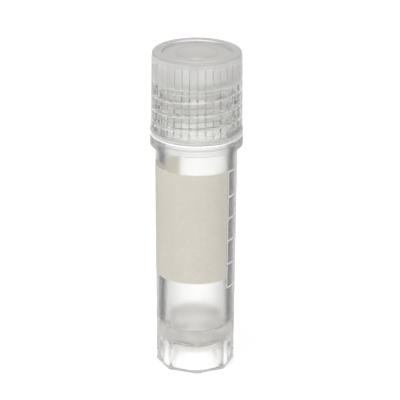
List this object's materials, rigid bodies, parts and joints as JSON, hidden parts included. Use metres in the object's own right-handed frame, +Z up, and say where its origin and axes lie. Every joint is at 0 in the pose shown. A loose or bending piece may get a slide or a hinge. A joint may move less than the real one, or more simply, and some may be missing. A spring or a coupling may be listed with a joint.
{
  "type": "cryovial",
  "caption": "Self-standing cryogenic storage vial of translucent plastic with an external thread, a grooved screw cap and a printed writing patch.",
  "frame": {"origin": "centre of the ring that the vial stands on", "axes": "+Z up along the vial's axis, -Y towards the front, where the writing patch faces"},
  "size_m": [0.0142, 0.0142, 0.0503],
  "materials": {
    "clear_polypropylene": "translucent natural polypropylene, smooth",
    "frosted_polypropylene": "translucent natural polypropylene, lightly frosted",
    "silicone": "translucent natural silicone"
  },
  "bodies": {
    "vial": {"vial_tube": "clear_polypropylene"},
    "washer": {"sealing_washer": "silicone"},
    "cap": {"screw_cap": "frosted_polypropylene"}
  },
  "joints": [
    {"name": "cap_lift", "type": "slide", "parent": "vial", "child": "washer", "axis": [0, 0, 1], "range_m": [0, 0.0176]},
    {"name": "cap_turn", "type": "hinge", "parent": "washer", "child": "cap", "pos_m": [0, 0, 0.044], "axis": [0, 0, 1], "range_deg": [0, 2880]}
  ],
  "couplings": [
    {"joint": "cap_turn", "follows": "cap_lift", "rad_per_m": 2856}
  ]
}
